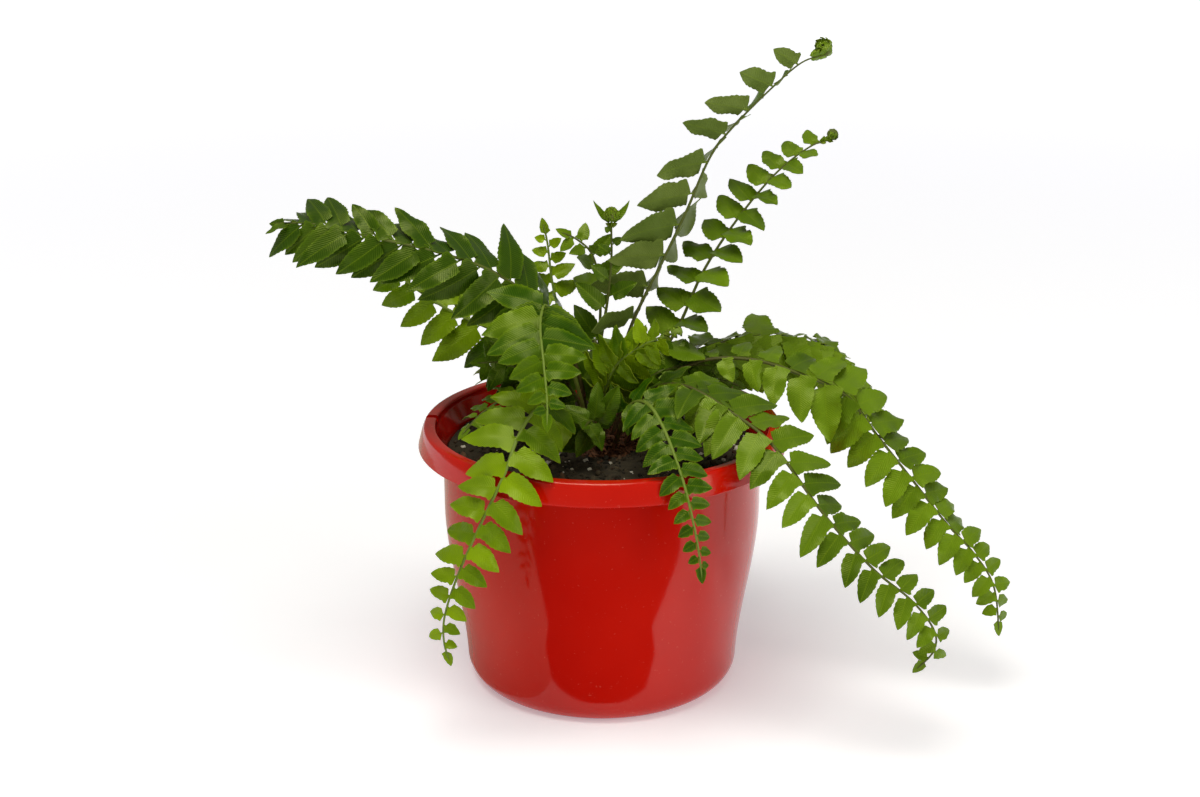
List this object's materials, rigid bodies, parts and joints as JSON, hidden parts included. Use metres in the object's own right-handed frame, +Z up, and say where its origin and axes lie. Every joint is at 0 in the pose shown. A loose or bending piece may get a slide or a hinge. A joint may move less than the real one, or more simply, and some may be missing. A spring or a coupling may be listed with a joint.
{
  "type": "potted fern",
  "caption": "Sword fern with arching, coiled and trailing fronds growing in a glossy red plastic pot.",
  "frame": {"origin": "centre of the pot's base, on the surface that it stands on", "axes": "+Z up along the pot's axis, -Y towards the side that the picture shows, +X to its right"},
  "size_m": [0.3971, 0.2474, 0.3461],
  "materials": {
    "pot_plastic": "gloss",
    "potting_mix": "matte",
    "crown_scales": "matte",
    "leaf_bright": "satin",
    "leaf_mid": "satin",
    "leaf_dark": "satin"
  },
  "bodies": {
    "root": {"pot": "pot_plastic", "potting_mix": "potting_mix", "crown": "crown_scales", "frond_left_long": "leaf_mid", "frond_left_low": "leaf_bright", "frond_centre_front": "leaf_bright", "frond_front_left": "leaf_bright", "frond_left_small": "leaf_mid", "frond_front_right": "leaf_bright", "frond_right_front": "leaf_mid", "frond_right_long": "leaf_mid", "frond_right_arch": "leaf_mid", "frond_tall": "leaf_dark", "frond_second": "leaf_mid", "frond_centre_young": "leaf_dark", "frond_curled_young": "leaf_mid", "frond_left_young": "leaf_bright", "frond_middle": "leaf_bright", "frond_left_inner": "leaf_dark", "frond_right_inner": "leaf_dark", "frond_front_dark": "leaf_dark", "frond_heart_right": "leaf_dark", "frond_heart_left": "leaf_dark", "frond_back_left": "leaf_mid", "frond_back": "leaf_mid", "frond_back_right": "leaf_bright", "frond_back_inner": "leaf_dark"}
  },
  "joints": []
}
